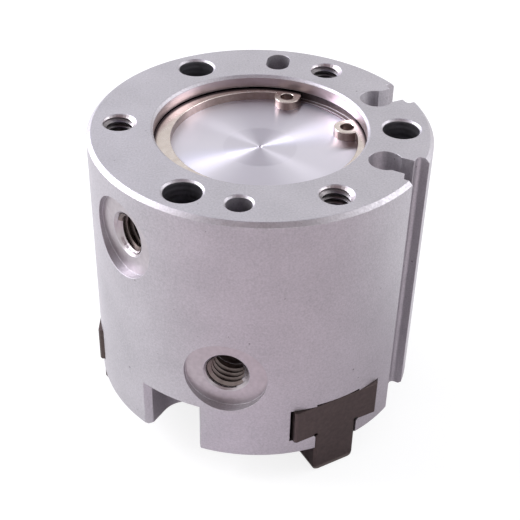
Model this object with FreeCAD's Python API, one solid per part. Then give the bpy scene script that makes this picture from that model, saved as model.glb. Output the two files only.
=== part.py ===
import FreeCAD
import Part
import math
import os

# Pneumatic three jaw centric gripper, in millimetres.
# The origin is the centre of the flat mounting face and +Z points out of that face.
# The three jaws hang below it, shown fully open with the piston down.
# A radial feature is drawn along +X and then turned to its angle about Z.

# Body
body_diameter = 42.0
top_edge_chamfer = 0.5
bottom_edge_chamfer = 0.4

# Angles of the features round the axis, in degrees
jaw_angles = (60.0, 180.0, 300.0)
notch_angles = (0.0, 120.0, 240.0)
groove_angles = (-27.0, 27.0)
port_upper_angle = 220.0
port_lower_angle = 260.0
dowel_hole_angle = 262.5
dowel_slot_angle = 82.5
ring_gap_angle = 44.7

# Centring recess and end cap
recess_diameter = 26.0
recess_depth = 3.0
recess_chamfer = 0.3
end_cap_thickness = 3.5
end_cap_clearance = 0.03
end_cap_chamfer = 0.3
end_cap_seal_section = 1.24
end_cap_seal_groove_width = 1.9
centre_mark_diameter = 0.6

# Retaining ring for a 26 mm bore
ring_thickness = 1.2
ring_groove_depth = 0.6
ring_groove_play = 0.1
ring_groove_clearance = 0.02
ring_band_widest = 2.8
ring_band_narrowest = 1.4
ring_lug_radius = 1.65
ring_lug_hole_diameter = 1.7
ring_lug_reach = 0.63
ring_lug_spread = 27.7

# Cylinder, piston and piston rod
cap_seat_width = 0.5
piston_stroke = 4.0
stop_gap = 0.05
piston_clearance = 0.1
piston_top_step = 1.6
piston_bottom_step = 1.8
piston_step_depth = 1.4
land_width = 0.6
piston_seal_width = 2.0
piston_seal_depth = 2.0
piston_seal_lip_gap = 0.6
magnet_width = 2.8
magnet_depth = 2.1
magnet_cover_gap = 0.2
wear_ring_width = 1.7
wear_ring_thickness = 1.2
wear_ring_split = 0.5
running_clearance = 0.03
groove_side_play = 0.05
bumper_inner_diameter = 13.0
bumper_outer_diameter = 18.0
bumper_seat_depth = 0.6
bumper_stand_out = 0.35
rod_diameter = 10.0
rod_clearance = 0.04
rod_seat_depth = 1.0
rod_stem_diameter = 6.0
rod_rivet_diameter = 8.0
rod_rivet_height = 1.0
partition_thickness = 2.55
rod_seal_width = 1.3
rod_seal_depth = 1.4

# Wedge cam and its screw
cam_height = 4.0
cam_roof_gap = 0.05
cam_floor_gap = 0.1
cam_diameter = 15.6
cam_bore_clearance = 0.2
cam_flat_distance = 5.0
rail_neck_width = 2.4
rail_neck_height = 1.0
rail_head_width = 4.4
rail_head_height = 1.2
rail_clearance = 0.05
rail_pocket_clearance = 0.4
cam_spigot_diameter = 6.5
cam_spigot_height = 0.9
cam_screw_diameter = 4.0
cam_screw_head_diameter = 8.0
cam_screw_head_height = 2.3
cam_screw_length = 10.0
cam_screw_hex = 2.5
cam_screw_hex_depth = 1.4
cam_screw_hole_play = 0.1
tapped_hole_runout = 1.0

# End plate on the jaw side
end_plate_thickness = 1.2
end_plate_diameter = 24.8
end_plate_clearance = 0.05
end_plate_notch_clearance = 0.6
end_plate_notch_distance = 6.8
end_plate_notch_radius = 0.8
end_plate_screw_inset = 2.1
end_plate_screw_diameter = 2.0
end_plate_screw_head = 3.8
end_plate_screw_head_height = 0.9
end_plate_screw_length = 5.0
end_plate_screw_hex = 1.2
end_plate_screw_hex_depth = 0.6

# Jaws and the T slots that guide them
jaw_stroke = 3.0
slot_head_height = 5.0
slot_lip_thickness = 2.5
slot_lip_radius = 0.4
slot_relief_width = 6.2
slot_relief_depth = 0.3
jaw_head_width = 12.1
jaw_head_side_clearance = 0.35
jaw_stem_width = 6.0
jaw_clearance = 0.03
jaw_end_distance = 20.75
jaw_stand_out = 4.1
jaw_head_chamfer = 0.25
jaw_stem_chamfer = 0.3
jaw_bottom_radius = 0.8
jaw_undercut_radius = 0.3
jaw_nose_gap = 0.15
jaw_stem_gap = 0.3
finger_thread_diameter = 3.0
finger_thread_depth = 6.0
finger_thread_chamfer = 0.2
finger_thread_inset = 2.55
finger_thread_spacing = 5.5

# Mounting pattern on the top face
bolt_inset = 3.9
through_hole_diameter = 4.5
through_hole_chamfer = 0.25
mounting_thread_diameter = 4.0
mounting_thread_depth = 9.0
mounting_thread_chamfer = 0.1
mounting_drill_diameter = 3.3
mounting_drill_depth = 11.0
dowel_diameter = 3.0
dowel_depth = 5.0
dowel_chamfer = 0.25
dowel_slot_extra = 1.3

# Notches that give room for the heads of the through bolts
notch_height = 7.4
notch_width = 7.1
notch_flare_width = 8.5
notch_flare_depth = 0.9

# Air ports
port_thread_diameter = 5.0
port_thread_depth = 4.5
port_chamfer = 0.35
port_spotface_diameter = 10.2
port_spotface_depth = 1.15
port_duct_diameter = 1.6
port_upper_inset = 1.05
port_lower_inset = 0.9

# Sensor grooves
groove_channel_width = 5.4
groove_channel_depth = 1.65
groove_channel_radius = 0.5
groove_neck_width = 3.1
groove_pocket_diameter = 4.1
groove_pocket_inset = 4.6

# Worked out from the driving sizes
body_radius = body_diameter / 2
recess_radius = recess_diameter / 2
bore_radius = recess_radius - cap_seat_width
bolt_circle = body_diameter - 2 * bolt_inset
groove_pocket_distance = body_radius - groove_pocket_inset
cap_radius = recess_radius - end_cap_clearance
rod_radius = rod_diameter / 2
wedge_ratio = jaw_stroke / piston_stroke

piston_land_length = 4 * land_width + piston_seal_width + magnet_width + wear_ring_width
piston_height = piston_top_step + piston_land_length + piston_bottom_step
chamber_length = piston_height + piston_stroke + 2 * (bumper_stand_out + stop_gap)

cap_face_z = -recess_depth
cap_seat_z = cap_face_z - end_cap_thickness
chamber_floor_z = cap_seat_z - chamber_length
cam_roof_z = chamber_floor_z - partition_thickness
cam_bottom_z = cam_roof_z - cam_roof_gap - cam_height - piston_stroke
cam_top_z = cam_bottom_z + cam_height
plate_top_z = cam_bottom_z - cam_floor_gap
body_bottom_z = plate_top_z - end_plate_thickness
slot_floor_z = body_bottom_z + slot_lip_thickness
slot_ceiling_z = slot_floor_z + slot_head_height
notch_top_z = body_bottom_z + notch_height
port_upper_z = cap_seat_z - port_upper_inset
port_lower_z = chamber_floor_z + port_lower_inset

piston_bottom_z = chamber_floor_z + stop_gap + bumper_stand_out
piston_top_z = piston_bottom_z + piston_height
piston_radius = bore_radius - piston_clearance
piston_step_radius = piston_radius - piston_step_depth
wear_ring_low_z = piston_bottom_z + piston_bottom_step + land_width
wear_ring_high_z = wear_ring_low_z + wear_ring_width
magnet_low_z = wear_ring_high_z + land_width
magnet_high_z = magnet_low_z + magnet_width
piston_seal_low_z = magnet_high_z + land_width
piston_seal_high_z = piston_seal_low_z + piston_seal_width
rod_shoulder_z = piston_bottom_z + rod_seat_depth

rod_seal_low_z = cam_roof_z + (partition_thickness - rod_seal_width) / 2
rod_seal_high_z = rod_seal_low_z + rod_seal_width
rod_seal_groove_radius = rod_radius + rod_clearance + rod_seal_depth

cam_bore_radius = cam_diameter / 2 + cam_bore_clearance
rail_outer = cam_flat_distance + rail_neck_height + rail_head_height
rail_outer_top = rail_outer + wedge_ratio * cam_height

plate_radius = end_plate_diameter / 2
plate_screw_radius = plate_radius - end_plate_screw_inset
end_plate_notch_width = jaw_stem_width + 2 * end_plate_notch_clearance
slot_head_width = jaw_head_width + 2 * jaw_head_side_clearance

jaw_head_top_z = slot_ceiling_z - jaw_clearance
jaw_head_bottom_z = slot_floor_z + jaw_clearance
jaw_foot_bottom_z = cam_bottom_z
jaw_bottom_z = body_bottom_z - jaw_stand_out
jaw_stem_inner = end_plate_notch_distance + jaw_stem_gap + jaw_stroke
finger_thread_outer = jaw_end_distance - finger_thread_inset
finger_thread_inner = finger_thread_outer - finger_thread_spacing

# A cut runs this far past the surface that it opens
past = 1.0


def turned(points):
    """A solid of revolution about Z from a closed outline of (radius, z) points."""
    corners = [FreeCAD.Vector(radius, 0, z) for radius, z in points]
    face = Part.Face(Part.makePolygon(corners + corners[:1]))
    return face.revolve(FreeCAD.Vector(0, 0, 0), FreeCAD.Vector(0, 0, 1), 360)


def disc(radius, low, high, centre=(0.0, 0.0)):
    """A round solid between two heights."""
    base = FreeCAD.Vector(centre[0], centre[1], low)
    return Part.makeCylinder(radius, high - low, base)


def ring(outer, inner, low, high):
    """A plain ring between two heights."""
    return turned([(inner, low), (outer, low), (outer, high), (inner, high)])


def radial_block(start, end, width, low, high):
    """A block that lies along +X, centred on the X axis."""
    corner = FreeCAD.Vector(start, -width / 2, low)
    return Part.makeBox(end - start, width, high - low, corner)


def radial_prism(points, width):
    """A closed outline of (distance along X, z) points, as thick as width, centred on the X axis."""
    corners = [FreeCAD.Vector(distance, -width / 2, z) for distance, z in points]
    face = Part.Face(Part.makePolygon(corners + corners[:1]))
    return face.extrude(FreeCAD.Vector(0, width, 0))


def turned_to(shape, angle):
    """A copy turned about Z."""
    copy = shape.copy()
    copy.rotate(FreeCAD.Vector(0, 0, 0), FreeCAD.Vector(0, 0, 1), angle)
    return copy


def round_axis(shape, angles):
    """One copy of the shape at each angle about Z."""
    return [turned_to(shape, angle) for angle in angles]


def countersink(radius, size, mouth_z, centre=(0.0, 0.0), facing=1):
    """The cone that breaks the edge of a hole at its mouth. It faces up for 1 and down for -1."""
    base = FreeCAD.Vector(centre[0], centre[1], mouth_z - facing * size)
    return Part.makeCone(radius, radius + 2 * size, 2 * size, base, FreeCAD.Vector(0, 0, facing))


def long_hole(start, end, radius, low, high):
    """A slot with round ends that lies along +X. Its end centres are at start and end."""
    block = radial_block(start, end, 2 * radius, low, high)
    ends = [disc(radius, low, high, (start, 0.0)), disc(radius, low, high, (end, 0.0))]
    return block.multiFuse(ends)


def hexagon(across_flats, low, high, centre=(0.0, 0.0)):
    """A six sided prism, for a hex socket."""
    corner_radius = across_flats / math.sqrt(3)
    corners = []
    for step in range(6):
        turn = math.radians(60 * step)
        x = centre[0] + corner_radius * math.cos(turn)
        y = centre[1] + corner_radius * math.sin(turn)
        corners.append(FreeCAD.Vector(x, y, low))
    face = Part.Face(Part.makePolygon(corners + corners[:1]))
    return face.extrude(FreeCAD.Vector(0, 0, high - low))


def edges_where(shape, keep):
    """The edges whose middle point passes the test."""
    chosen = []
    for edge in shape.Edges:
        middle = edge.valueAt((edge.FirstParameter + edge.LastParameter) / 2)
        if keep(middle, edge):
            chosen.append(edge)
    return chosen


def wedge_line(distance, z):
    """A distance from the axis at the cam's lower face, moved out along the wedge to height z."""
    return distance + wedge_ratio * (z - cam_bottom_z)


def wedge_prism(inner, outer, low, high, width):
    """A slanted bar that follows the wedge between two distances from the axis."""
    outline = [
        (wedge_line(inner, low), low),
        (wedge_line(outer, low), low),
        (wedge_line(outer, high), high),
        (wedge_line(inner, high), high),
    ]
    return radial_prism(outline, width)


# Body

def mounting_cuts():
    """Holes in the top face, all on the bolt circle."""
    on_circle = (bolt_circle / 2, 0.0)
    through = disc(through_hole_diameter / 2, body_bottom_z - past, past, on_circle)
    through_mouth = countersink(through_hole_diameter / 2, through_hole_chamfer, 0.0, on_circle)
    thread = disc(mounting_thread_diameter / 2, -mounting_thread_depth, past, on_circle)
    thread_mouth = countersink(mounting_thread_diameter / 2, mounting_thread_chamfer, 0.0, on_circle)
    drill = disc(mounting_drill_diameter / 2, -mounting_drill_depth, -mounting_thread_depth, on_circle)
    dowel = disc(dowel_diameter / 2, -dowel_depth, past, on_circle)
    dowel_mouth = countersink(dowel_diameter / 2, dowel_chamfer, 0.0, on_circle)
    slot_start = (bolt_circle - dowel_slot_extra) / 2
    slot_end = (bolt_circle + dowel_slot_extra) / 2
    dowel_slot = long_hole(slot_start, slot_end, dowel_diameter / 2, -dowel_depth, past)

    cuts = []
    for hole in (through, through_mouth):
        cuts += round_axis(hole, notch_angles)
    for hole in (thread, thread_mouth, drill):
        cuts += round_axis(hole, jaw_angles)
    for hole in (dowel, dowel_mouth):
        cuts.append(turned_to(hole, dowel_hole_angle))
    cuts.append(turned_to(dowel_slot, dowel_slot_angle))
    return cuts


def cylinder_cuts():
    """Recess, ring groove, piston bore, rod bore with its seal groove, cam bore and plate seat."""
    ring_top_z = cap_face_z + ring_thickness + ring_groove_play
    return [
        disc(recess_radius, cap_seat_z, past),
        countersink(recess_radius, recess_chamfer, 0.0),
        disc(recess_radius + ring_groove_depth, cap_face_z, ring_top_z),
        disc(bore_radius, chamber_floor_z, cap_seat_z),
        disc(rod_radius + rod_clearance, cam_roof_z, chamber_floor_z),
        disc(rod_seal_groove_radius, rod_seal_low_z, rod_seal_high_z),
        disc(cam_bore_radius, body_bottom_z - past, cam_roof_z),
        disc(plate_radius + end_plate_clearance, body_bottom_z - past, plate_top_z),
    ]


def plate_screw_cut():
    """The tapped hole for one end plate screw."""
    depth = end_plate_screw_length + tapped_hole_runout
    low = body_bottom_z
    return disc(end_plate_screw_diameter / 2, low, low + depth, (plate_screw_radius, 0.0))


def jaw_slot_cut():
    """One T slot, open at the outside, with the pocket above it that the cam's rail rises into."""
    outside = body_radius + past
    head = radial_block(0, outside, slot_head_width, slot_floor_z, slot_ceiling_z)
    neck_width = jaw_stem_width + 2 * jaw_clearance
    neck = radial_block(0, outside, neck_width, body_bottom_z - past, slot_floor_z)
    relief_top = slot_ceiling_z + slot_relief_depth
    relief = radial_block(0, outside, slot_relief_width, slot_ceiling_z, relief_top)
    pocket_radius = (rail_head_width + rail_pocket_clearance) / 2
    corner_reach = math.sqrt(pocket_radius ** 2 - (rail_head_width / 2) ** 2)
    pocket_end = rail_outer_top + rail_pocket_clearance - corner_reach
    pocket = long_hole(0, pocket_end, pocket_radius, slot_ceiling_z, cam_roof_z)
    cut = head.multiFuse([neck, relief, pocket])

    def lip_edge(middle, edge):
        at_floor = abs(middle.z - slot_floor_z) < 0.01
        at_neck = abs(abs(middle.y) - neck_width / 2) < 0.01
        return at_floor and at_neck and edge.Length > body_radius / 2

    return cut.makeFillet(slot_lip_radius, edges_where(cut, lip_edge))


def notch_cut():
    """A U shaped notch, open downwards and outwards, with its outer edges flared."""
    radius = notch_width / 2
    low = body_bottom_z - past
    channel = long_hole(bolt_circle / 2, body_radius + past, radius, low, notch_top_z)
    rim_half = notch_flare_width / 2
    rim = math.sqrt(body_radius ** 2 - rim_half ** 2)
    slope = (rim_half - radius) / notch_flare_depth
    outside = body_radius + past
    outside_half = rim_half + slope * (outside - rim)
    throat = rim - notch_flare_depth
    corners = [(throat, -radius), (outside, -outside_half), (outside, outside_half), (throat, radius)]
    points = [FreeCAD.Vector(x, y, low) for x, y in corners]
    flare = Part.Face(Part.makePolygon(points + points[:1]))
    return channel.fuse(flare.extrude(FreeCAD.Vector(0, 0, notch_top_z - low)))


def port_cut(angle, height):
    """One air port: spotface, tapped hole, its broken edge and the duct into the bore."""
    floor = body_radius - port_spotface_depth
    inward = FreeCAD.Vector(-1, 0, 0)

    def drilled(diameter, start, end):
        mouth = FreeCAD.Vector(start, 0, height)
        return Part.makeCylinder(diameter / 2, start - end, mouth, inward)

    spotface = drilled(port_spotface_diameter, body_radius + past, floor)
    thread = drilled(port_thread_diameter, floor, floor - port_thread_depth)
    duct = drilled(port_duct_diameter, floor - port_thread_depth, bore_radius - past)
    wide = port_thread_diameter / 2 + port_chamfer
    narrow = port_thread_diameter / 2
    edge = Part.makeCone(wide, narrow, port_chamfer, FreeCAD.Vector(floor, 0, height), inward)
    return turned_to(spotface.multiFuse([thread, duct, edge]), angle)


def sensor_groove_cut():
    """A keyhole groove over the full height, for a round position sensor with a flat cover strip."""
    low = body_bottom_z - past
    pocket = disc(groove_pocket_diameter / 2, low, past, (groove_pocket_distance, 0.0))
    channel_floor = body_radius - groove_channel_depth
    neck = radial_block(groove_pocket_distance, channel_floor + past, groove_neck_width, low, past)
    channel = radial_block(channel_floor, body_radius + past, groove_channel_width, low, past)

    def floor_corner(middle, edge):
        at_side = abs(middle.y) > groove_channel_width / 4
        return abs(middle.x - channel_floor) < 0.01 and at_side and edge.Length > past * 2

    channel = channel.makeFillet(groove_channel_radius, edges_where(channel, floor_corner))
    return pocket.multiFuse([neck, channel])


def make_body():
    top_r = body_radius - top_edge_chamfer
    bottom_r = body_radius - bottom_edge_chamfer
    blank = turned([
        (0, body_bottom_z),
        (bottom_r, body_bottom_z),
        (body_radius, body_bottom_z + bottom_edge_chamfer),
        (body_radius, -top_edge_chamfer),
        (top_r, 0),
        (0, 0),
    ])
    cuts = cylinder_cuts() + mounting_cuts()
    cuts += round_axis(jaw_slot_cut(), jaw_angles)
    cuts += round_axis(notch_cut(), notch_angles)
    cuts += round_axis(plate_screw_cut(), notch_angles)
    cuts += round_axis(sensor_groove_cut(), groove_angles)
    cuts.append(port_cut(port_upper_angle, port_upper_z))
    cuts.append(port_cut(port_lower_angle, port_lower_z))
    return blank.cut(cuts)


# Top closure

def make_end_cap():
    """Turned plug with a seal groove in its rim and the centre mark that turning leaves."""
    groove_middle = (cap_face_z + cap_seat_z) / 2
    groove_low = groove_middle - end_cap_seal_groove_width / 2
    groove_high = groove_middle + end_cap_seal_groove_width / 2
    groove_radius = recess_radius - end_cap_seal_section
    mark = centre_mark_diameter / 2
    return turned([
        (0, cap_seat_z),
        (cap_radius - end_cap_chamfer, cap_seat_z),
        (cap_radius, cap_seat_z + end_cap_chamfer),
        (cap_radius, groove_low),
        (groove_radius, groove_low),
        (groove_radius, groove_high),
        (cap_radius, groove_high),
        (cap_radius, cap_face_z - end_cap_chamfer),
        (cap_radius - end_cap_chamfer, cap_face_z),
        (mark, cap_face_z),
        (0, cap_face_z - mark),
    ])


def make_end_cap_seal():
    """Round section seal ring between the cap's groove and the recess wall."""
    section = end_cap_seal_section / 2
    middle = FreeCAD.Vector(0, 0, (cap_face_z + cap_seat_z) / 2)
    return Part.makeTorus(recess_radius - section, section, middle)


def make_retaining_ring():
    """Internal snap ring: a band that tapers from behind the gap to two round lugs with tool holes."""
    low = cap_face_z
    high = cap_face_z + ring_thickness
    outer = recess_radius + ring_groove_depth - ring_groove_clearance
    inner = outer - (ring_band_widest + ring_band_narrowest) / 2
    offset = (ring_band_widest - ring_band_narrowest) / 2
    band = disc(outer, low, high).cut(disc(inner, low - past, high + past, (offset, 0.0)))

    reach = 2 * outer
    corners = [FreeCAD.Vector(0, 0, low - past)]
    for side in (-ring_lug_spread, 0, ring_lug_spread):
        turn = math.radians(side)
        corners.append(FreeCAD.Vector(reach * math.cos(turn), reach * math.sin(turn), low - past))
    gap = Part.Face(Part.makePolygon(corners + corners[:1]))
    band = band.cut(gap.extrude(FreeCAD.Vector(0, 0, ring_thickness + 2 * past)))

    lugs = []
    holes = []
    lug_end = outer - ring_lug_radius
    lug_centre = lug_end - ring_lug_reach
    for side in (-ring_lug_spread, ring_lug_spread):
        lug = long_hole(lug_centre, lug_end, ring_lug_radius, low, high)
        lugs.append(turned_to(lug, side))
        hole = disc(ring_lug_hole_diameter / 2, low - past, high + past, (lug_centre, 0.0))
        holes.append(turned_to(hole, side))
    whole = band.multiFuse(lugs).common(disc(outer, low, high)).cut(holes)
    return turned_to(whole.removeSplitter(), ring_gap_angle)


# Piston group

def make_piston():
    """Stepped disc with grooves for its seal, magnet and wear ring and seats for two bumpers."""
    seal_floor = piston_radius - piston_seal_depth + piston_clearance
    magnet_floor = piston_radius - magnet_depth - magnet_cover_gap
    wear_floor = bore_radius - running_clearance - wear_ring_thickness
    stem = rod_stem_diameter / 2
    rivet = rod_rivet_diameter / 2
    bumper_in = bumper_inner_diameter / 2
    bumper_out = bumper_outer_diameter / 2
    lower_step_z = piston_bottom_z + piston_bottom_step
    upper_step_z = piston_top_z - piston_top_step
    return turned([
        (rod_radius, piston_bottom_z),
        (bumper_in, piston_bottom_z),
        (bumper_in, piston_bottom_z + bumper_seat_depth),
        (bumper_out, piston_bottom_z + bumper_seat_depth),
        (bumper_out, piston_bottom_z),
        (piston_step_radius, piston_bottom_z),
        (piston_step_radius, lower_step_z),
        (piston_radius, lower_step_z),
        (piston_radius, wear_ring_low_z),
        (wear_floor, wear_ring_low_z),
        (wear_floor, wear_ring_high_z),
        (piston_radius, wear_ring_high_z),
        (piston_radius, magnet_low_z),
        (magnet_floor, magnet_low_z),
        (magnet_floor, magnet_high_z),
        (piston_radius, magnet_high_z),
        (piston_radius, piston_seal_low_z),
        (seal_floor, piston_seal_low_z),
        (seal_floor, piston_seal_high_z),
        (piston_radius, piston_seal_high_z),
        (piston_radius, upper_step_z),
        (piston_step_radius, upper_step_z),
        (piston_step_radius, piston_top_z),
        (bumper_out, piston_top_z),
        (bumper_out, piston_top_z - bumper_seat_depth),
        (bumper_in, piston_top_z - bumper_seat_depth),
        (bumper_in, piston_top_z),
        (rivet, piston_top_z),
        (stem, piston_top_z - rod_rivet_height),
        (stem, rod_shoulder_z),
        (rod_radius, rod_shoulder_z),
    ])


def make_piston_seal():
    """Two lip seal ring with a notch between its lips."""
    outer = bore_radius - running_clearance
    inner = piston_radius - piston_seal_depth + piston_clearance
    low = piston_seal_low_z + groove_side_play
    high = piston_seal_high_z - groove_side_play
    middle = (low + high) / 2
    half_gap = piston_seal_lip_gap / 2
    return turned([
        (inner, low),
        (outer - half_gap, low),
        (outer, low + half_gap),
        (outer, middle - half_gap),
        (outer - half_gap, middle),
        (outer, middle + half_gap),
        (outer, high - half_gap),
        (outer - half_gap, high),
        (inner, high),
    ])


def make_piston_magnet():
    floor = piston_radius - magnet_depth - magnet_cover_gap
    return ring(piston_radius - magnet_cover_gap, floor, magnet_low_z, magnet_high_z)


def make_wear_ring():
    """Split guide ring."""
    outer = bore_radius - running_clearance
    low = wear_ring_low_z + groove_side_play
    high = wear_ring_high_z - groove_side_play
    whole = ring(outer, outer - wear_ring_thickness, low, high)
    split = radial_block(0, bore_radius + past, wear_ring_split, low - past, high + past)
    return whole.cut(split)


def make_bumper(seat_z, facing):
    """A rubber ring that stands a little out of its seat. It faces up for 1 and down for -1."""
    outside_z = seat_z + facing * bumper_stand_out
    inside_z = seat_z - facing * bumper_seat_depth
    low = min(outside_z, inside_z)
    high = max(outside_z, inside_z)
    return ring(bumper_outer_diameter / 2, bumper_inner_diameter / 2, low, high)


def make_piston_rod():
    """Steel rod, riveted over the piston at its top and tapped for the cam screw at its foot."""
    spigot_bottom_z = cam_top_z - cam_spigot_height
    tapped_top_z = cam_bottom_z + cam_screw_length + tapped_hole_runout
    tapped = cam_screw_diameter / 2
    stem = rod_stem_diameter / 2
    return turned([
        (tapped, spigot_bottom_z),
        (cam_spigot_diameter / 2, spigot_bottom_z),
        (cam_spigot_diameter / 2, cam_top_z),
        (rod_radius, cam_top_z),
        (rod_radius, rod_shoulder_z),
        (stem, rod_shoulder_z),
        (stem, piston_top_z - rod_rivet_height),
        (rod_rivet_diameter / 2, piston_top_z),
        (0, piston_top_z),
        (0, tapped_top_z + tapped / 2),
        (tapped, tapped_top_z),
    ])


def make_rod_seal():
    inner = rod_radius + running_clearance
    low = rod_seal_low_z + groove_side_play
    high = rod_seal_high_z - groove_side_play
    middle = (low + high) / 2
    lip = (high - low) / 4
    return turned([
        (inner + lip, low),
        (rod_seal_groove_radius, low),
        (rod_seal_groove_radius, high),
        (inner + lip, high),
        (inner, high - lip),
        (inner + lip / 2, middle),
        (inner, low + lip),
    ])


def make_cam():
    """Round hub with three slanted flats. Each flat carries a T rail that follows the wedge."""
    hub = disc(cam_diameter / 2, cam_bottom_z, cam_top_z)
    low = cam_bottom_z - past
    high = cam_top_z + past
    beyond = cam_flat_distance + cam_diameter
    beyond_flat = wedge_prism(cam_flat_distance, beyond, low, high, 2 * cam_diameter)
    hub = hub.cut(round_axis(beyond_flat, jaw_angles))

    root = cam_flat_distance - rail_neck_height
    head_middle = rail_outer - rail_head_height / 2
    head_inner = rail_outer - rail_head_height
    neck = wedge_prism(root, head_middle, cam_bottom_z, cam_top_z, rail_neck_width)
    head = wedge_prism(head_inner, rail_outer, cam_bottom_z, cam_top_z, rail_head_width)
    rail = neck.fuse(head)
    cam = hub.multiFuse(round_axis(rail, jaw_angles))

    hole = cam_screw_diameter / 2 + cam_screw_hole_play
    head_radius = cam_screw_head_diameter / 2
    sink = Part.makeCone(head_radius, hole, cam_screw_head_height, FreeCAD.Vector(0, 0, cam_bottom_z))
    spigot_seat = disc(cam_spigot_diameter / 2, cam_top_z - cam_spigot_height, cam_top_z + past)
    clear_hole = disc(hole, cam_bottom_z - past, cam_top_z + past)
    return cam.cut([sink, spigot_seat, clear_hole]).removeSplitter()


def countersunk_screw(diameter, head_diameter, head_height, hole_radius, length, hex_size, hex_depth):
    """A countersunk screw with its head face at z = 0 and its shank pointing up. The head fits
    a countersink that narrows to hole_radius."""
    shank = disc(diameter / 2, 0, length)
    head = Part.makeCone(head_diameter / 2, hole_radius, head_height)
    socket = hexagon(hex_size, -past, hex_depth)
    return shank.fuse(head).cut(socket).removeSplitter()


def make_cam_screw():
    hole = cam_screw_diameter / 2 + cam_screw_hole_play
    screw = countersunk_screw(cam_screw_diameter, cam_screw_head_diameter,
                              cam_screw_head_height, hole, cam_screw_length, cam_screw_hex,
                              cam_screw_hex_depth)
    screw.translate(FreeCAD.Vector(0, 0, cam_bottom_z))
    return screw


# Jaw side closure

def make_end_plate():
    """Thin cover over the cam. Three notches leave room for the jaw stems."""
    plate = disc(plate_radius, body_bottom_z, plate_top_z)
    low = body_bottom_z - past
    high = plate_top_z + past
    notch = radial_block(end_plate_notch_distance, plate_radius + past, end_plate_notch_width, low, high)

    def notch_corner(middle, edge):
        at_side = abs(middle.y) > end_plate_notch_width / 4
        return abs(middle.x - end_plate_notch_distance) < 0.01 and at_side

    notch = notch.makeFillet(end_plate_notch_radius, [
        edge for edge in edges_where(notch, notch_corner) if edge.Length > end_plate_thickness
    ])
    hole = end_plate_screw_diameter / 2
    head = end_plate_screw_head / 2
    centre = FreeCAD.Vector(plate_screw_radius, 0, body_bottom_z)
    sink = Part.makeCone(head, hole, end_plate_screw_head_height, centre)
    clear_hole = disc(hole, low, high, (plate_screw_radius, 0.0))
    cuts = round_axis(notch, jaw_angles)
    cuts += round_axis(sink, notch_angles)
    cuts += round_axis(clear_hole, notch_angles)
    return plate.cut(cuts)


def make_end_plate_screw(angle):
    screw = countersunk_screw(end_plate_screw_diameter, end_plate_screw_head,
                              end_plate_screw_head_height, end_plate_screw_diameter / 2,
                              end_plate_screw_length, end_plate_screw_hex,
                              end_plate_screw_hex_depth)
    screw.translate(FreeCAD.Vector(plate_screw_radius, 0, body_bottom_z))
    return turned_to(screw, angle)


# Jaws

def jaw_blank():
    """T shaped slide with its stem standing out below the body, before the wedge slot is cut."""
    end = jaw_end_distance
    foot_end = jaw_stem_inner + past
    head = radial_block(0, end, jaw_head_width, jaw_head_bottom_z, jaw_head_top_z)
    foot = radial_block(0, foot_end, jaw_stem_width, jaw_foot_bottom_z, jaw_head_bottom_z)
    stem = radial_block(jaw_stem_inner, end, jaw_stem_width, jaw_bottom_z, jaw_head_bottom_z)

    def outer_upright(middle, edge):
        upright = abs(edge.tangentAt(edge.FirstParameter).z) > 0.99
        return upright and abs(middle.x - jaw_end_distance) < 0.01

    def bottom_long(middle, edge):
        along = abs(edge.tangentAt(edge.FirstParameter).x) > 0.99
        return along and abs(middle.z - jaw_bottom_z) < 0.01

    head = head.makeChamfer(jaw_head_chamfer, edges_where(head, outer_upright))
    stem = stem.makeFillet(jaw_bottom_radius, edges_where(stem, bottom_long))
    stem = stem.makeChamfer(jaw_stem_chamfer, edges_where(stem, outer_upright))
    return head.multiFuse([foot, stem]).removeSplitter()


def jaw_undercuts():
    """Small round reliefs in the two inner corners of the T, along the whole slide."""
    cuts = []
    for side in (-1, 1):
        start = FreeCAD.Vector(-past, side * jaw_stem_width / 2, jaw_head_bottom_z)
        cuts.append(Part.makeCylinder(jaw_undercut_radius, jaw_end_distance + 2 * past, start,
                                      FreeCAD.Vector(1, 0, 0)))
    return cuts


def jaw_nose_cuts():
    """Two slanted faces that keep the closed jaws clear of each other near the axis."""
    tip = jaw_stroke + jaw_nose_gap
    reach = jaw_end_distance
    spread = reach * math.tan(math.radians(60))
    low = jaw_bottom_z - past
    height = jaw_head_top_z - jaw_bottom_z + 2 * past
    cuts = []
    for side in (-1, 1):
        corners = [(-reach, 0), (tip, 0), (tip + reach, side * spread), (-reach, side * spread)]
        points = [FreeCAD.Vector(x, y, low) for x, y in corners]
        face = Part.Face(Part.makePolygon(points + points[:1]))
        cuts.append(face.extrude(FreeCAD.Vector(0, 0, height)))
    return cuts


def jaw_wedge_cuts():
    """The slanted inner end of the jaw and the T slot in it that takes the cam's rail."""
    low = jaw_foot_bottom_z - past
    high = jaw_head_top_z + past
    face = cam_flat_distance + rail_clearance
    inside = wedge_prism(face - jaw_end_distance, face, low, high, 2 * jaw_head_width)
    lip = cam_flat_distance + rail_neck_height - rail_clearance
    neck = wedge_prism(face - past, lip + past / 2, low, high, rail_neck_width + 2 * rail_clearance)
    head_width = rail_head_width + 2 * rail_clearance
    pocket = wedge_prism(lip, rail_outer + rail_clearance, low, high, head_width)
    return [inside, neck, pocket]


def finger_thread_cuts():
    """Tapped holes in the stem's bottom face, for a gripping finger."""
    cuts = []
    radius = finger_thread_diameter / 2
    for distance in (finger_thread_inner, finger_thread_outer):
        centre = (distance, 0.0)
        cuts.append(disc(radius, jaw_bottom_z - past, jaw_bottom_z + finger_thread_depth, centre))
        cuts.append(countersink(radius, finger_thread_chamfer, jaw_bottom_z, centre, -1))
    return cuts


def make_jaw(angle):
    cuts = jaw_undercuts() + jaw_nose_cuts() + jaw_wedge_cuts() + finger_thread_cuts()
    return turned_to(jaw_blank().cut(cuts), angle)


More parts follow.
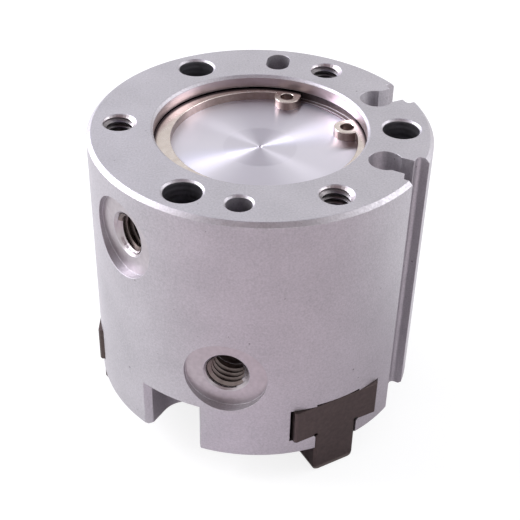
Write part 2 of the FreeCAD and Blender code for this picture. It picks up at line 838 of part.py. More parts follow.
nodes = {
    "body": make_body(),
    "end_cap": make_end_cap(),
    "end_cap_seal": make_end_cap_seal(),
    "retaining_ring": make_retaining_ring(),
    "rod_seal": make_rod_seal(),
    "end_plate": make_end_plate(),
    "piston": make_piston(),
    "piston_seal": make_piston_seal(),
    "piston_magnet": make_piston_magnet(),
    "wear_ring": make_wear_ring(),
    "upper_bumper": make_bumper(piston_top_z, 1),
    "lower_bumper": make_bumper(piston_bottom_z, -1),
    "piston_rod": make_piston_rod(),
    "wedge_cam": make_cam(),
    "cam_screw": make_cam_screw(),
}
for number, angle in enumerate(notch_angles, start=1):
    nodes["end_plate_screw_" + str(number)] = make_end_plate_screw(angle)
for number, angle in enumerate(jaw_angles, start=1):
    nodes["jaw_" + str(number)] = make_jaw(angle)

os.makedirs("parts", exist_ok=True)
for name, shape in nodes.items():
    shape.exportStep("parts/" + name + ".step")
    print(name, "solids", len(shape.Solids), "volume", round(shape.Volume, 2), "valid", shape.isValid())
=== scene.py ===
import math
from collections import namedtuple

import bmesh
import bpy
from mathutils import Matrix, Vector
from mathutils.bvhtree import BVHTree
from mathutils.interpolate import poly_3d_calc


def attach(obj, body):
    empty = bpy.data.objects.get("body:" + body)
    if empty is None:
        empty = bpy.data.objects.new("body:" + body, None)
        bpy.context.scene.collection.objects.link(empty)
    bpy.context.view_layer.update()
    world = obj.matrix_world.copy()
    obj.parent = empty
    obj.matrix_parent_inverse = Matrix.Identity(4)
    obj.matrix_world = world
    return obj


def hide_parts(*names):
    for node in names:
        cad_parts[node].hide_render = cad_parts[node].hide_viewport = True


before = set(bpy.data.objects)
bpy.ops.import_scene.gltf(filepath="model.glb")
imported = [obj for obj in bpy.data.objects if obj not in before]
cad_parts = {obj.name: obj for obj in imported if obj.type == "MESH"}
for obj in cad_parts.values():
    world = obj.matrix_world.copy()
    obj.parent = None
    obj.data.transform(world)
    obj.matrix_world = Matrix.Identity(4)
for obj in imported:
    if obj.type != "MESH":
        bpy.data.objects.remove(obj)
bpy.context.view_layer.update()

MM = 0.001

# Sizes taken over from the solids, in metres and degrees. The origin is the mounting face's centre.
RECESS_RADIUS = 13.0 * MM
RING_GROOVE_RADIUS = 13.6 * MM
RING_GROOVE_TOP_Z = -1.7 * MM
BOLT_RADIUS = 17.1 * MM
JAW_ANGLES = (60.0, 180.0, 300.0)
NOTCH_ANGLES = (0.0, 120.0, 240.0)
PORTS = {"upper": (220.0, -7.55 * MM), "lower": (260.0, -22.7 * MM)}
PORT_FLOOR_RADIUS = 19.85 * MM
SPOTFACE_RADIUS = 5.1 * MM
FINGER_HOLES = {"inner": 12.7 * MM, "outer": 18.2 * MM}
JAW_BOTTOM_Z = -39.6 * MM

# Threads, drawn here only: the radii of the hole's wall and of the crests, the pitch, how far the
# turns go down, and how much wider than the wall the countersink is at the mouth
Thread = namedtuple("Thread", "wall crest pitch depth sink")
MOUNTING_THREAD = Thread(wall=2.0 * MM, crest=1.63 * MM, pitch=0.7 * MM, depth=8.5 * MM, sink=0.14 * MM)
FINGER_THREAD = Thread(wall=1.5 * MM, crest=1.24 * MM, pitch=0.5 * MM, depth=5.6 * MM, sink=0.2 * MM)
PORT_THREAD = Thread(wall=2.5 * MM, crest=2.09 * MM, pitch=0.8 * MM, depth=4.1 * MM, sink=0.35 * MM)

# Where each port's first turn starts, in degrees about the port's own axis
PORT_THREAD_STARTS = {"upper": 0.0, "lower": 105.0}

# Where the end cap's inner disc ends and its outer face begins, as radii
CAP_DISC = (4.45 * MM, 4.6 * MM)

# Where the snap ring's painted shade, beside its groove's wall, begins and where it covers the plating,
# as radii, and how far it is set off to one side, so that it is wider at the back
RING_PAINTED_SHADE = (12.55 * MM, 12.85 * MM)
RING_PAINTED_SHADE_ASIDE = (-0.05 * MM, 0.35 * MM)

# The places of a mix node's two colours and of its result
MIX_FIRST = 6
MIX_SECOND = 7
MIX_RESULT = 2


def round_point(angle, radius, height):
    """A point at an angle about the axis, in degrees, and a distance from it."""
    turn = math.radians(angle)
    return Vector((radius * math.cos(turn), radius * math.sin(turn), height))


def linear(colour):
    """An sRGB hex colour as the linear colour that Blender's sockets take."""
    channels = [int(colour[i:i + 2], 16) / 255 for i in (0, 2, 4)]
    return [c / 12.92 if c <= 0.04045 else ((c + 0.055) / 1.055) ** 2.4 for c in channels] + [1.0]


def add(tree, kind, settings=None, inputs=None):
    """One shader node. A value that is another node's socket is linked, and any other is set."""
    node = tree.nodes.new(kind)
    for name, value in (settings or {}).items():
        setattr(node, name, value)
    for name, value in (inputs or {}).items():
        if isinstance(value, bpy.types.NodeSocket):
            tree.links.new(value, node.inputs[name])
        else:
            node.inputs[name].default_value = value
    return node


def new_material(name, values):
    """A new material, its node tree and its shader, with the given values on the shader's sockets."""
    material = bpy.data.materials.new(name)
    material.use_nodes = True
    tree = material.node_tree
    tree.nodes.clear()
    shader = add(tree, "ShaderNodeBsdfPrincipled", inputs=values)
    add(tree, "ShaderNodeOutputMaterial", inputs={"Surface": shader.outputs["BSDF"]})
    return material, tree, shader


def finish(name, metallic, roughness, **constants):
    """A new material, its node tree, its shader with the given values, and the place on the object
    that its patterns are measured in."""
    values = {"Metallic": metallic, "Roughness": roughness}
    values.update({socket.replace("_", " "): value for socket, value in constants.items()})
    material, tree, shader = new_material(name, values)
    place = add(tree, "ShaderNodeTexCoord").outputs["Object"]
    return material, tree, shader, place


def speckle(tree, place, size, detail, low=0.0, high=1.0):
    """A value from low to high that varies over the surface, with spots of about the given size."""
    noise = add(tree, "ShaderNodeTexNoise", inputs={"Vector": place, "Scale": 1 / size, "Detail": detail})
    spread = add(tree, "ShaderNodeMapRange", inputs={
        "Value": noise.outputs["Fac"], "From Min": 0.3, "From Max": 0.7, "To Min": low, "To Max": high})
    return spread.outputs["Result"]


def tones(tree, place, size, detail, dark, light):
    """A colour that varies over the surface between two, with spots of about the given size, and the
    spots as a value."""
    spots = speckle(tree, place, size, detail)
    mix = add(tree, "ShaderNodeMix", {"data_type": "RGBA"}, {
        "Factor": spots, MIX_FIRST: linear(dark), MIX_SECOND: linear(light)})
    return mix.outputs[MIX_RESULT], spots


def by_radius(tree, place, radii, inside, outside, aside=(0.0, 0.0)):
    """A value that goes from inside to outside between two distances from the axis, sooner on the side
    that aside points to."""
    flat = add(tree, "ShaderNodeVectorMath", {"operation": "MULTIPLY_ADD"}, {
        0: place, 1: (1.0, 1.0, 0.0), 2: (*aside, 0.0)})
    distance = add(tree, "ShaderNodeVectorMath", {"operation": "LENGTH"}, {0: flat.outputs["Vector"]})
    spread = add(tree, "ShaderNodeMapRange", inputs={
        "Value": distance.outputs["Value"], "From Min": radii[0], "From Max": radii[1],
        "To Min": inside, "To Max": outside})
    return spread.outputs["Result"]


def feed_rings(tree, place, pitch):
    """The height of the rings that a tool leaves along the axis, one to each pitch."""
    along = add(tree, "ShaderNodeSeparateXYZ", inputs={"Vector": place}).outputs["Z"]
    turns = add(tree, "ShaderNodeMath", {"operation": "MULTIPLY"}, {0: along, 1: 2 * math.pi / pitch})
    wave = add(tree, "ShaderNodeMath", {"operation": "SINE"}, {0: turns.outputs[0]})
    return wave.outputs[0]


def dress(tree, shader, colour, height, depth, roughness=None):
    """Gives a shader its colour, relief of the given depth in metres, and its roughness where that
    varies."""
    tree.links.new(colour, shader.inputs["Base Color"])
    bump = add(tree, "ShaderNodeBump", inputs={"Height": height, "Distance": depth, "Strength": 1.0})
    tree.links.new(bump.outputs["Normal"], shader.inputs["Normal"])
    if roughness is not None:
        tree.links.new(roughness, shader.inputs["Roughness"])


def blasted_anodised_aluminium():
    """Aluminium, blasted with fine beads and anodised clear: matt, silvery and finely grained, with a
    few dark pits. The beads' marks are too fine to show, so the grain is drawn at 0.22 mm."""
    material, tree, shader, place = finish("blasted_anodised_aluminium", 1.0, 0.5)
    grain = speckle(tree, place, size=0.22 * MM, detail=3.0)
    cloud = speckle(tree, place, size=7.0 * MM, detail=2.0)
    # The grain and half as much of the cloud, brought back to between 0 and 1
    both = add(tree, "ShaderNodeMath", {"operation": "MULTIPLY_ADD"}, {0: cloud, 1: 0.5, 2: grain})
    mask = add(tree, "ShaderNodeMath", {"operation": "MULTIPLY"}, {0: both.outputs[0], 1: 0.66})
    clean = add(tree, "ShaderNodeMix", {"data_type": "RGBA"}, {
        "Factor": mask.outputs[0], MIX_FIRST: linear("adaaaf"), MIX_SECOND: linear("c7c3c9")})
    # Only the rare peaks of a noise are pits
    dots = add(tree, "ShaderNodeTexNoise", inputs={
        "Vector": place, "Scale": 1 / (0.5 * MM), "Detail": 0.0})
    pits = add(tree, "ShaderNodeMapRange", inputs={
        "Value": dots.outputs["Fac"], "From Min": 0.85, "From Max": 0.88, "To Min": 0.0, "To Max": 0.6})
    pitted = add(tree, "ShaderNodeMix", {"data_type": "RGBA"}, {
        "Factor": pits.outputs["Result"], MIX_FIRST: clean.outputs[MIX_RESULT],
        MIX_SECOND: linear("645c60")})
    roughness = speckle(tree, place, size=0.4 * MM, detail=2.0, low=0.46, high=0.56)
    dress(tree, shader, pitted.outputs[MIX_RESULT], grain, 0.009 * MM, roughness)
    return material


def bored_anodised_aluminium():
    """The same aluminium where it was bored: smoother, with fine rings from the tool, which are drawn
    0.25 mm apart so that they show. Its warm tone is partly a painted reflection of the plated ring."""
    material, tree, shader, place = finish("bored_anodised_aluminium", 1.0, 0.35)
    # Painted reflection: the warm pinkish brown of these tones stands for the plated ring that the wall
    # reflects
    colour, _ = tones(tree, place, size=2.0 * MM, detail=2.0, dark="b0a1a3", light="beb0b3")
    dress(tree, shader, colour, feed_rings(tree, place, pitch=0.25 * MM), 0.0008 * MM)
    return material


def drilled_anodised_aluminium():
    """The same aluminium down a deep hole, with coarse rings from the drill's feed. Its dark tones are
    painted shade of the hole's depth.
    """
    material, tree, shader, place = finish("drilled_anodised_aluminium", 1.0, 0.4)
    # Painted shade: these tones are darker than the blasted faces because the hole is deep
    colour, _ = tones(tree, place, size=1.0 * MM, detail=2.0, dark="98969c", light="a4a2a8")
    dress(tree, shader, colour, feed_rings(tree, place, pitch=0.7 * MM), 0.008 * MM)
    return material


def turned_aluminium():
    """Bare aluminium faced on a lathe: fine circles that draw the light out into a bow tie. A disc in
    the middle is a little duller."""
    material, tree, shader, place = finish("turned_aluminium", 1.0, 0.4, Anisotropic=0.98,
                                           Anisotropic_Rotation=0.26)
    tangent = add(tree, "ShaderNodeTangent", {"direction_type": "RADIAL", "axis": "Z"})
    tree.links.new(tangent.outputs["Tangent"], shader.inputs["Tangent"])
    mix = add(tree, "ShaderNodeMix", {"data_type": "RGBA"}, {
        "Factor": by_radius(tree, place, CAP_DISC, inside=0.0, outside=1.0),
        MIX_FIRST: linear("d6d2dd"), MIX_SECOND: linear("dad6e1")})
    tree.links.new(mix.outputs[MIX_RESULT], shader.inputs["Base Color"])
    roughness = by_radius(tree, place, CAP_DISC, inside=0.36, outside=0.31)
    tree.links.new(roughness, shader.inputs["Roughness"])
    return material


def nickel_plated_steel():
    """Spring steel with a nickel plating: smooth, bright and a little warm, with painted shade, a dark
    band, where it goes into its groove."""
    material, tree, shader, place = finish("nickel_plated_steel", 1.0, 0.24)
    plating, waves = tones(tree, place, size=1.0 * MM, detail=3.0, dark="cbbfb8", light="d8cec8")
    # Painted shade: the plating turns dark brown towards the ring's outer edge, most at the back
    painted_shade = by_radius(tree, place, RING_PAINTED_SHADE, inside=0.0, outside=1.0, aside=RING_PAINTED_SHADE_ASIDE)
    mix = add(tree, "ShaderNodeMix", {"data_type": "RGBA"}, {
        "Factor": painted_shade, MIX_FIRST: plating, MIX_SECOND: linear("33272a")})
    roughness = speckle(tree, place, size=0.5 * MM, detail=2.0, low=0.2, high=0.28)
    dress(tree, shader, mix.outputs[MIX_RESULT], waves, 0.0006 * MM, roughness)
    return material


def dark_hardened_steel():
    """Ground and nitrided steel: nearly black, with a dull brown grey shine."""
    material, tree, shader, place = finish("dark_hardened_steel", 0.9, 0.42)
    colour, grain = tones(tree, place, size=0.5 * MM, detail=4.0, dark="504645", light="5a4f4d")
    roughness = speckle(tree, place, size=0.8 * MM, detail=3.0, low=0.38, high=0.44)
    dress(tree, shader, colour, grain, 0.001 * MM, roughness)
    return material


def plain_finish(name, metallic, dark, light, roughness, depth):
    """A finish with two tones of its own and a fine grain."""
    material, tree, shader, place = finish(name, metallic, roughness)
    colour, grain = tones(tree, place, size=0.6 * MM, detail=2.0, dark=dark, light=light)
    dress(tree, shader, colour, grain, depth)
    return material


def plain_metal(name, dark, light, roughness):
    """A metal without a marked pattern."""
    return plain_finish(name, 1.0, dark, light, roughness, 0.001 * MM)


def plain_plastic(name, dark, light, roughness):
    """A rubber or resin without a marked pattern."""
    return plain_finish(name, 0.0, dark, light, roughness, 0.002 * MM)


BLASTED = blasted_anodised_aluminium()
BORED_WITH_PAINTED_REFLECTION = bored_anodised_aluminium()
TURNED = turned_aluminium()
# Milled and anodised: plain, and smoother than the blasted faces
MILLED = plain_metal("milled_anodised_aluminium", "b0a9ad", "bcb5b9", 0.4)
# The snap ring's groove: dull and dark, as painted shade of the groove in the ring's shadow
GROOVE_PAINTED_SHADE = plain_metal("ring_groove_painted_shade", "5a5254", "686062", 0.5)
# Cut threads in the mounting holes: grey with a soft shine
CUT_THREAD = plain_metal("cut_anodised_thread", "8c8789", "9c9799", 0.36)
# Cut threads in the air ports: darker and browner
CUT_PORT_THREAD = plain_metal("cut_port_thread", "756a68", "847976", 0.4)
DRILLED_WITH_PAINTED_SHADE = drilled_anodised_aluminium()
NICKEL = nickel_plated_steel()
# The snap ring's sheared edges: darker and duller than its plated faces, partly their own finish and
# partly painted shade on the upright faces
SHEARED_AND_SHADED_NICKEL = plain_metal("sheared_nickel_edge_painted_shade", "92827b", "a1918a", 0.34)
JAW_STEEL = dark_hardened_steel()
# Rolled sheet: plain grey with a soft shine
STAINLESS_SHEET = plain_metal("rolled_stainless_sheet", "8f8d8b", "a3a19e", 0.3)
# Ground rod: bright and smooth
STAINLESS_ROD = plain_metal("ground_stainless_rod", "a5a3a1", "b4b2b0", 0.15)
# Blackened steel: nearly black, with a soft shine
SCREW_STEEL = plain_metal("blackened_screw_steel", "2e2d2f", "3b3a3c", 0.35)
# Turned aluminium, not anodised: pale and smooth
PISTON_METAL = plain_metal("turned_piston_aluminium", "b4b2b8", "c2c0c6", 0.3)
# Hardened and ground steel: dark grey and smooth
CAM_STEEL = plain_metal("ground_hardened_steel", "6d6866", "7d7876", 0.25)
# Sintered magnet: dark and dull
MAGNET = plain_metal("sintered_magnet", "4a4846", "5a5856", 0.5)
# Moulded nitrile rubber: black and matt
NITRILE = plain_plastic("moulded_nitrile_rubber", "151515", "1f1f1f", 0.55)
# Moulded urethane rubber: amber brown, with a faint shine
URETHANE = plain_plastic("moulded_urethane_rubber", "6b4a2a", "7a5733", 0.45)
# Filled resin: brown and matt
GUIDE_RESIN = plain_plastic("filled_guide_resin", "5c4b3c", "6a5847", 0.5)

# Solids that are shown as they are. All but the end plate's screws lie inside the body.
FINISHES_OF_SOLIDS = {
    "end_cap_seal": NITRILE,
    "rod_seal": NITRILE,
    "piston": PISTON_METAL,
    "piston_seal": NITRILE,
    "piston_magnet": MAGNET,
    "wear_ring": GUIDE_RESIN,
    "upper_bumper": URETHANE,
    "lower_bumper": URETHANE,
    "piston_rod": STAINLESS_ROD,
    "wedge_cam": CAM_STEEL,
    "cam_screw": SCREW_STEEL,
    "end_plate_screw_1": SCREW_STEEL,
    "end_plate_screw_2": SCREW_STEEL,
    "end_plate_screw_3": SCREW_STEEL,
}
for name, material in FINISHES_OF_SOLIDS.items():
    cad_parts[name].material_slots[0].material = material

# How the solids' edges are broken: corners nearer than the first are one, faces that turn by less
# than the flat angle are one, edges sharper than the sharp angle are broken, and a point on a solid
# belongs to the triangles within reach of it
MERGE_DISTANCE = 0.0001 * MM
FLAT_ANGLE = math.radians(0.3)
SHARP_ANGLE = math.radians(28)
TRIANGLE_REACH = 0.005 * MM
BEVEL_SEGMENTS = 2
UNFOLD_ROUNDS = 4


def surface_normal(tree, source, point, facing):
    """The solid's own normal at a point on it, taken from the triangle there that faces most nearly
    the given way."""
    near = tree.find_nearest_range(point, TRIANGLE_REACH) or [tree.find_nearest(point)]
    spot, _, index, _ = max(near, key=lambda hit: hit[1].dot(facing))
    triangle = source.polygons[index]
    corners = [source.vertices[vertex].co for vertex in triangle.vertices]
    mixed = Vector()
    for weight, loop in zip(poly_3d_calc(corners, spot), triangle.loop_indices):
        mixed += weight * source.corner_normals[loop].vector
    return mixed.normalized()


def turn_folded_edge(face, outwards, edge_index):
    """Gives a face that the bevel folded over a new diagonal with a neighbour, if both then face out."""
    for edge in face.edges:
        others = [other for other in edge.link_faces if other is not face]
        if len(others) != 1 or others[0].material_index == edge_index:
            continue
        loop = next(loop for loop in face.loops if loop.edge is edge)
        first, second, third = loop.vert.co, loop.link_loop_next.vert.co, loop.link_loop_prev.vert.co
        across = next(vertex for vertex in others[0].verts if vertex not in edge.verts).co
        one = (across - first).cross(third - first)
        other = (second - across).cross(third - across)
        if one.dot(outwards) > 0 and other.dot(outwards) > 0:
            index = face.material_index
            turned = bmesh.utils.edge_rotate(edge, False)
            for made in turned.link_faces if turned else []:
                made.material_index = index
                made.smooth = True
            return


def unfold(mesh, tree, edge_index):
    """Mends the thin faces beside a broken edge that the bevel pushed past their far side."""
    work = bmesh.new()
    work.from_mesh(mesh)
    bmesh.ops.triangulate(work, faces=work.faces, quad_method="BEAUTY", ngon_method="BEAUTY")
    for _ in range(UNFOLD_ROUNDS):
        for face in list(work.faces):
            if not face.is_valid or face.material_index == edge_index:
                continue
            face.normal_update()
            outwards = tree.find_nearest(face.calc_center_median())[1]
            if face.normal.dot(outwards) < 0:
                turn_folded_edge(face, outwards, edge_index)
    work.to_mesh(mesh)
    work.free()


def exact_normals(mesh, source, tree, edge_index):
    """Gives each face the normals of the solid's own surface, so that round walls shade evenly. The
    faces of a broken edge turn from one neighbour's normals to the other's."""
    found = [None] * len(mesh.loops)
    at_vertex = {}
    for face in mesh.polygons:
        if face.material_index == edge_index:
            continue
        for loop in face.loop_indices:
            vertex = mesh.loops[loop].vertex_index
            found[loop] = surface_normal(tree, source, mesh.vertices[vertex].co, face.normal)
            at_vertex.setdefault(vertex, []).append(found[loop])
    for face in mesh.polygons:
        if face.material_index != edge_index:
            continue
        for loop in face.loop_indices:
            vertex = mesh.loops[loop].vertex_index
            near = at_vertex.get(vertex)
            mean = sum(near, Vector()) if near else Vector(mesh.vertex_normals[vertex].vector)
            found[loop] = mean.normalized()
    mesh.normals_split_custom_set(found)


def broken_edges(name, body, materials, edge_break, choose=None):
    """Stands for a solid that shows: the same mesh with its sharp edges broken as deburring leaves
    them. choose gives each face one of the materials, from its centre and normal. The broken edges
    have the first material, in a place of its own after the others."""
    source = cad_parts[name].data
    mesh = source.copy()
    mesh.name = name + "_shown"
    mesh.materials.clear()
    for material in materials + materials[:1]:
        mesh.materials.append(material)
    work = bmesh.new()
    work.from_mesh(mesh)
    bmesh.ops.remove_doubles(work, verts=work.verts, dist=MERGE_DISTANCE)
    bmesh.ops.dissolve_limit(work, angle_limit=FLAT_ANGLE, verts=work.verts, edges=work.edges)
    for face in work.faces:
        chosen = choose(face.calc_center_median(), face.normal) if choose else materials[0]
        face.smooth = True
        face.material_index = materials.index(chosen)
    work.to_mesh(mesh)
    work.free()
    piece = bpy.data.objects.new(name + "_shown", mesh)
    bpy.context.scene.collection.objects.link(piece)
    bevel = piece.modifiers.new("edge break", "BEVEL")
    bevel.width = edge_break
    bevel.segments = BEVEL_SEGMENTS
    bevel.limit_method = "ANGLE"
    bevel.angle_limit = SHARP_ANGLE
    bevel.use_clamp_overlap = False
    bevel.material = len(materials)
    bpy.context.view_layer.update()
    broken = bpy.data.meshes.new_from_object(piece.evaluated_get(bpy.context.evaluated_depsgraph_get()))
    piece.modifiers.clear()
    piece.data = broken
    points = [vertex.co for vertex in source.vertices]
    tree = BVHTree.FromPolygons(points, [list(face.vertices) for face in source.polygons])
    unfold(broken, tree, len(materials))
    exact_normals(broken, source, tree, len(materials))
    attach(piece, body)
    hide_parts(name)


# A face of the body is told by its centre, within a few margins. Faces above the mouths' depth are
# the mounting face, its chamfers and its countersinks. The walls of the deep holes lie within reach
# of the holes' axes.
MARGIN = 0.1 * MM
MOUTH_DEPTH = 0.3 * MM
HOLE_REACH = 2.4 * MM


def body_finish(centre, normal):
    """The finish of a face of the body: bored in the recess, painted dark as shade in the snap ring's
    groove, drilled and painted darker as shade in a deep hole, threaded in an air port, milled on a
    port's seat, and blasted elsewhere."""
    radius = math.hypot(centre.x, centre.y)
    if radius < RING_GROOVE_RADIUS + 2 * MARGIN:
        if centre.z > -MOUTH_DEPTH:
            return BLASTED
        in_groove = centre.z < RING_GROOVE_TOP_Z + MARGIN / 2 and radius > RECESS_RADIUS + MARGIN
        return GROOVE_PAINTED_SHADE if in_groove else BORED_WITH_PAINTED_REFLECTION
    upright = abs(normal.z) < 0.9
    if centre.z < -MOUTH_DEPTH and upright:
        for angle in NOTCH_ANGLES + JAW_ANGLES:
            if (centre - round_point(angle, BOLT_RADIUS, centre.z)).length < HOLE_REACH:
                return DRILLED_WITH_PAINTED_SHADE
    for angle, height in PORTS.values():
        outward = round_point(angle, 1, 0)
        from_axis = centre - round_point(angle, 0, height)
        aside = from_axis.cross(outward).length
        if radius < PORT_FLOOR_RADIUS - 3 * MARGIN and aside < PORT_THREAD.wall + MARGIN:
            return CUT_PORT_THREAD
        on_floor = abs(from_axis.dot(outward) - PORT_FLOOR_RADIUS) < 4 * MARGIN
        faces_out = normal.dot(outward) > 0.5
        if aside < SPOTFACE_RADIUS + MARGIN and on_floor and faces_out:
            return MILLED
    return BLASTED


def ring_finish(centre, normal):
    """The finish of a face of the snap ring: plated on its flat sides, sheared and painted darker as
    shade round its upright edges.
    """
    return NICKEL if abs(normal.z) > 0.5 else SHEARED_AND_SHADED_NICKEL


BODY_FINISHES = [BLASTED, BORED_WITH_PAINTED_REFLECTION, DRILLED_WITH_PAINTED_SHADE, MILLED, GROOVE_PAINTED_SHADE, CUT_PORT_THREAD]
broken_edges("body", "housing", BODY_FINISHES, edge_break=0.06 * MM,
             choose=body_finish)
broken_edges("end_cap", "housing", [TURNED], edge_break=0.04 * MM)
broken_edges("retaining_ring", "housing", [NICKEL, SHEARED_AND_SHADED_NICKEL],
             edge_break=0.1 * MM, choose=ring_finish)
broken_edges("end_plate", "housing", [STAINLESS_SHEET], edge_break=0.06 * MM)
for number in (1, 2, 3):
    jaw = "jaw_" + str(number)
    broken_edges(jaw, "jaw_slide_" + str(number), [JAW_STEEL], edge_break=0.06 * MM)

# A thread's ridge has this many steps to a turn. Its root goes into the hole's wall, and a crest that
# the countersink cut back by more than the last size is bright.
RIDGE_STEPS = 28
RIDGE_ROOT = 0.02 * MM
BRIGHT_CUT = 0.1 * MM


def thread_ridge(name, body, materials, mouth, into, thread, start=0.0):
    """The ridge of a cut thread, wound right handed along a drilled wall that is drawn at the thread's
    full width. mouth is the centre of the hole's mouth and into points down the hole. The ridge starts
    under the countersink, turned by start in degrees, and sinks into the wall over its last half turn.
    The second material is for the first turn, where the countersink cut the crest."""
    into = Vector(into).normalized()
    across = into.orthogonal().normalized()
    aside = into.cross(across)
    root = thread.wall + RIDGE_ROOT
    # The ridge's corners, by their radius and by how many pitches they lie below its middle
    outline = ((root, -0.46), (thread.crest, -0.1), (thread.crest, 0.1), (root, 0.46))
    count = round(thread.depth / thread.pitch * RIDGE_STEPS)
    corners = []
    countersunk = []
    for step in range(count + 1):
        turn = 2 * math.pi * step / RIDGE_STEPS + math.radians(start)
        outward = across * math.cos(turn) + aside * math.sin(turn)
        fade = max(0.0, 1 - (count - step) / RIDGE_STEPS * 2)
        for radius, shift in outline:
            down = max(thread.pitch * (step / RIDGE_STEPS + shift), thread.sink / 2 + RIDGE_ROOT)
            cut = max(radius, thread.wall + thread.sink - down) if radius < thread.wall else radius
            countersunk.append(cut > radius + BRIGHT_CUT)
            cut = min(cut + (thread.wall - cut) * fade, root)
            corners.append(Vector(mouth) + outward * cut + into * down)
    faces = [(0, 1, 2, 3), tuple(4 * count + side for side in (3, 2, 1, 0))]
    for step in range(count):
        for side in range(4):
            here, there = 4 * step + side, 4 * step + (side + 1) % 4
            faces.append((here, here + 4, there + 4, there))
    mesh = bpy.data.meshes.new(name)
    mesh.from_pydata(corners, [], faces)
    for material in materials:
        mesh.materials.append(material)
    for face in mesh.polygons:
        face.material_index = int(any(countersunk[corner] for corner in face.vertices))
    ridge = bpy.data.objects.new(name, mesh)
    bpy.context.scene.collection.objects.link(ridge)
    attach(ridge, body)


for number, angle in enumerate(JAW_ANGLES, start=1):
    thread_ridge("mounting_thread_" + str(number), "housing",
                 [CUT_THREAD, MILLED], round_point(angle, BOLT_RADIUS, 0), (0, 0, -1), MOUNTING_THREAD)
    for place, radius in FINGER_HOLES.items():
        thread_ridge("finger_thread_" + str(number) + "_" + place, "jaw_slide_" + str(number),
                     [JAW_STEEL, JAW_STEEL],
                     round_point(angle, radius, JAW_BOTTOM_Z), (0, 0, 1), FINGER_THREAD)
for place, (angle, height) in PORTS.items():
    thread_ridge("port_thread_" + place, "housing", [CUT_PORT_THREAD, MILLED],
                 round_point(angle, PORT_FLOOR_RADIUS, height), round_point(angle, -1, 0), PORT_THREAD,
                 PORT_THREAD_STARTS[place])


# The studio: white paper in a white room, three soft lamps and four cards
FLOOR_SIZE = 4.0
PAPER_GLOW = 0.82
ROOM_LIGHT = 0.6
LAMP_AIM = Vector((0, 0, -20.0 * MM))


def studio_sheet(name, centre, facing, width, height, material, seen=True):
    """A flat sheet of the studio. One that isn't seen shows only in the metal's reflections."""
    x, y = width / 2, height / 2
    mesh = bpy.data.meshes.new(name)
    mesh.from_pydata([(-x, -y, 0), (x, -y, 0), (x, y, 0), (-x, y, 0)], [], [(0, 1, 2, 3)])
    mesh.materials.append(material)
    sheet = bpy.data.objects.new(name, mesh)
    sheet.location = centre
    sheet.rotation_euler = Vector(facing).to_track_quat("Z", "Y").to_euler()
    sheet.visible_camera = seen
    sheet.visible_diffuse = seen
    sheet.visible_shadow = seen
    bpy.context.scene.collection.objects.link(sheet)


def seen_directly(tree):
    """1 for the rays of the camera, of reflections and of what shines through, 0 for the light that
    falls on the object."""
    rays = add(tree, "ShaderNodeLightPath").outputs
    seen = add(tree, "ShaderNodeMath", {"operation": "MAXIMUM"}, {
        0: rays["Is Camera Ray"], 1: rays["Is Glossy Ray"]})
    seen = add(tree, "ShaderNodeMath", {"operation": "MAXIMUM"}, {
        0: seen.outputs[0], 1: rays["Is Transmission Ray"]})
    return seen.outputs[0]


def white_paper():
    """Paper that the camera and the metal see as nearly white, and that keeps the shadow."""
    material, tree, shader = new_material("white_paper", {
        "Base Color": linear("8c8c8e"), "Roughness": 0.9, "Specular IOR Level": 0.2,
        "Emission Color": linear("ffffff")})
    glow = add(tree, "ShaderNodeMath", {"operation": "MULTIPLY"}, {0: seen_directly(tree), 1: PAPER_GLOW})
    tree.links.new(glow.outputs[0], shader.inputs["Emission Strength"])
    return material


def white_room():
    """A world that is full white where it is seen, and weaker where it lights the object."""
    world = bpy.data.worlds.new("white_studio")
    world.use_nodes = True
    tree = world.node_tree
    tree.nodes.clear()
    level = add(tree, "ShaderNodeMapRange", inputs={
        "Value": seen_directly(tree), "To Min": ROOM_LIGHT, "To Max": 1.0})
    background = add(tree, "ShaderNodeBackground", inputs={
        "Color": linear("ffffff"), "Strength": level.outputs["Result"]})
    add(tree, "ShaderNodeOutputWorld", inputs={"Surface": background.outputs["Background"]})
    return world


def softbox(name, azimuth, elevation, distance, width, height, power, colour):
    """A rectangular lamp that points at the gripper, with angles in degrees and sizes in metres."""
    light = bpy.data.lights.new(name, "AREA")
    light.shape = "RECTANGLE"
    light.size = width
    light.size_y = height
    light.energy = power
    light.color = linear(colour)[:3]
    lamp = bpy.data.objects.new(name, light)
    turn, rise = math.radians(azimuth), math.radians(elevation)
    towards = Vector((math.cos(rise) * math.cos(turn), math.cos(rise) * math.sin(turn), math.sin(rise)))
    lamp.location = towards * distance + LAMP_AIM
    lamp.rotation_euler = towards.to_track_quat("Z", "Y").to_euler()
    bpy.context.scene.collection.objects.link(lamp)


def card(name, centre, facing, width, height, shade):
    """A matt card that only the metal's reflections see. It keeps part of the white room out of them."""
    material, _, _ = new_material(name, {
        "Base Color": linear(shade), "Roughness": 1.0, "Specular IOR Level": 0.0})
    studio_sheet(name, centre, facing, width, height, material, seen=False)


studio_sheet("floor", (0, 0, JAW_BOTTOM_Z), (0, 0, 1), FLOOR_SIZE, FLOOR_SIZE, white_paper())
bpy.context.scene.world = white_room()

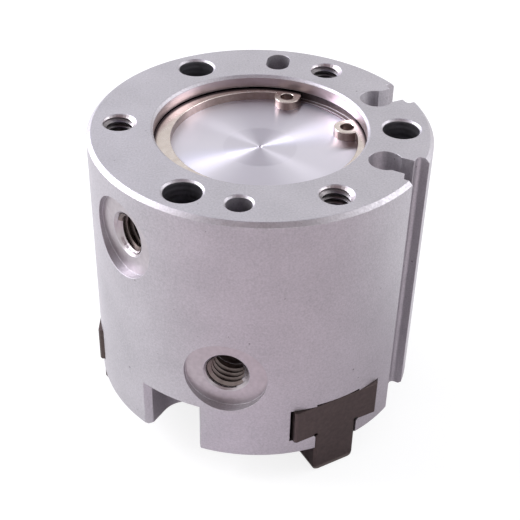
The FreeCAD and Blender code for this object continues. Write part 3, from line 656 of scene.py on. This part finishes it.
softbox("key_softbox", azimuth=164, elevation=31, distance=0.5, width=0.34, height=0.26, power=2.4,
        colour="fffbfb")
softbox("side_softbox", azimuth=9, elevation=29, distance=0.5, width=0.25, height=0.2, power=0.78,
        colour="fbfbff")
softbox("window", azimuth=150, elevation=36, distance=0.6, width=0.5, height=0.3, power=0.75,
        colour="b8ccff")

card("front_card", centre=(0, -0.185, 0.236), facing=(0, 0.6, -0.8), width=0.36, height=0.26,
     shade="a48484")
card("overhead_card", centre=(0, 0.0, 0.32), facing=(0, 0, -1), width=0.3, height=0.22, shade="abadce")
card("floor_card", centre=(0.08, -0.17, JAW_BOTTOM_Z + 0.5 * MM), facing=(0, 0, 1), width=0.34,
     height=0.27, shade="ddd1d5")
# The foot card is painted shadow: it stands in for the floor's shade round the jaws where the metal
# reflects the floor
card("foot_shadow_card", centre=(0.02, -0.018, JAW_BOTTOM_Z + 0.8 * MM), facing=(0, 0, 1), width=0.062,
     height=0.034, shade="f0e8ee")

# Camera at the photograph's place, with the focal length and the width in the photograph's pixels
EYE = Vector((-0.689, -118.306, 68.036)) * MM
AIM = Vector((0.296, -9.245, -13.453)) * MM
ROLL = math.radians(1.559)
FOCAL_PIXELS = 1117.98
PHOTO_WIDTH = 520
SENSOR_WIDTH = 36.0

scene = bpy.context.scene
scene.view_settings.view_transform = "Standard"
camera_data = bpy.data.cameras.new("camera")
camera_data.sensor_width = SENSOR_WIDTH
camera_data.lens = SENSOR_WIDTH * FOCAL_PIXELS / PHOTO_WIDTH
camera_data.clip_start = 0.005
camera_data.clip_end = 20.0
camera = bpy.data.objects.new("camera", camera_data)
scene.collection.objects.link(camera)
forward = (AIM - EYE).normalized()
right = forward.cross(Vector((0, 0, 1))).normalized()
up = right.cross(forward)
turned_right = right * math.cos(ROLL) + up * math.sin(ROLL)
turned_up = up * math.cos(ROLL) - right * math.sin(ROLL)
camera.matrix_world = Matrix((
    (turned_right.x, turned_up.x, -forward.x, EYE.x),
    (turned_right.y, turned_up.y, -forward.y, EYE.y),
    (turned_right.z, turned_up.z, -forward.z, EYE.z),
    (0, 0, 0, 1),
))
scene.camera = camera
